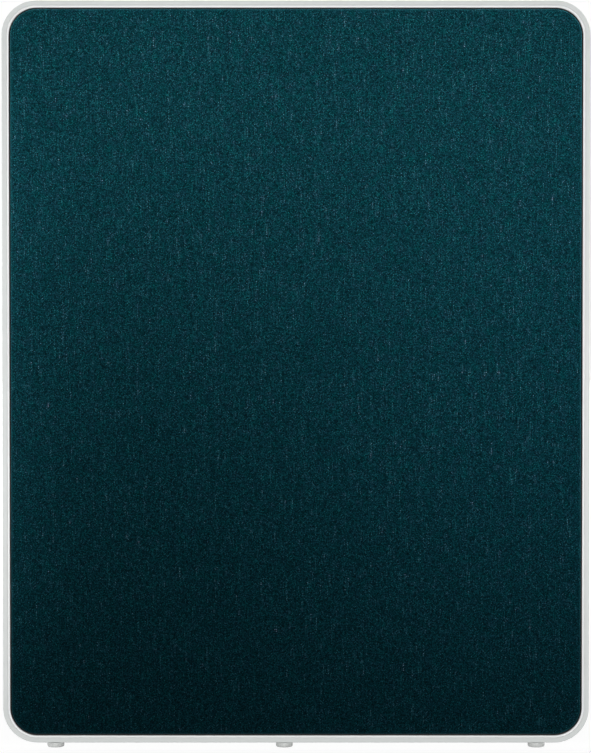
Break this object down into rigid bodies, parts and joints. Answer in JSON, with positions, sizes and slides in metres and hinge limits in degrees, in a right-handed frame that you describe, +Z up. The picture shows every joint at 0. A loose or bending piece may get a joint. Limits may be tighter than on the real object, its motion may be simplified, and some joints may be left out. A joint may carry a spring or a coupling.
{
  "type": "partition screen",
  "caption": "Free-standing upholstered partition screen: rounded light-grey profile frame, white inner bead, woven petrol panels on both sides, low levelling feet.",
  "frame": {"origin": "on the floor under the middle of the screen", "axes": "+Z up, X along the width, the front face looks towards -Y"},
  "size_m": [1.1, 0.04, 1.4],
  "materials": {
    "frame_finish": "satin",
    "bead_plastic": "satin",
    "cover_fabric": "matte",
    "padding_foam": "matte",
    "core_felt": "matte",
    "backer_board": "matte",
    "batten_wood": "matte",
    "dowel_wood": "matte",
    "stud_plastic": "satin",
    "foot_plastic": "satin",
    "sole_rubber": "matte",
    "zinc_steel": "satin"
  },
  "bodies": {
    "frame": {"top_bow": "frame_finish", "bottom_bow": "frame_finish", "left_stile": "frame_finish", "right_stile": "frame_finish", "splice_keys": "zinc_steel", "splice_screws": "zinc_steel", "front_bead": "bead_plastic", "rear_bead": "bead_plastic", "top_batten": "batten_wood", "bottom_batten": "batten_wood", "left_batten": "batten_wood", "right_batten": "batten_wood", "cross_batten": "batten_wood", "batten_dowels": "dowel_wood", "batten_screws": "zinc_steel", "upper_core": "core_felt", "lower_core": "core_felt", "front_backer": "backer_board", "front_padding": "padding_foam", "front_cover": "cover_fabric", "front_studs": "stud_plastic", "rear_backer": "backer_board", "rear_padding": "padding_foam", "rear_cover": "cover_fabric", "rear_studs": "stud_plastic", "nut_plates": "zinc_steel", "plate_screws": "zinc_steel"},
    "left_pad": {"left_foot_pad": "foot_plastic", "left_foot_sole": "sole_rubber"},
    "left_wheel": {"left_foot_wheel": "foot_plastic", "left_foot_stem": "zinc_steel"},
    "middle_pad": {"middle_foot_pad": "foot_plastic", "middle_foot_sole": "sole_rubber"},
    "middle_wheel": {"middle_foot_wheel": "foot_plastic", "middle_foot_stem": "zinc_steel"},
    "right_pad": {"right_foot_pad": "foot_plastic", "right_foot_sole": "sole_rubber"},
    "right_wheel": {"right_foot_wheel": "foot_plastic", "right_foot_stem": "zinc_steel"}
  },
  "joints": [
    {"name": "left_foot_level", "type": "slide", "parent": "frame", "child": "left_pad", "axis": [0, 0, -1], "range_m": [0, 0.015]},
    {"name": "left_foot_turn", "type": "hinge", "parent": "left_pad", "child": "left_wheel", "pos_m": [-0.453, 0, 0.005], "axis": [0, 0, -1], "range_deg": [0, 4320]},
    {"name": "middle_foot_level", "type": "slide", "parent": "frame", "child": "middle_pad", "axis": [0, 0, -1], "range_m": [0, 0.015]},
    {"name": "middle_foot_turn", "type": "hinge", "parent": "middle_pad", "child": "middle_wheel", "pos_m": [-0.022, 0, 0.005], "axis": [0, 0, -1], "range_deg": [0, 4320]},
    {"name": "right_foot_level", "type": "slide", "parent": "frame", "child": "right_pad", "axis": [0, 0, -1], "range_m": [0, 0.015]},
    {"name": "right_foot_turn", "type": "hinge", "parent": "right_pad", "child": "right_wheel", "pos_m": [0.453, 0, 0.005], "axis": [0, 0, -1], "range_deg": [0, 4320]}
  ],
  "couplings": [
    {"joint": "left_foot_level", "follows": "left_foot_turn", "m_per_rad": 0.00019894},
    {"joint": "middle_foot_level", "follows": "middle_foot_turn", "m_per_rad": 0.00019894},
    {"joint": "right_foot_level", "follows": "right_foot_turn", "m_per_rad": 0.00019894}
  ]
}
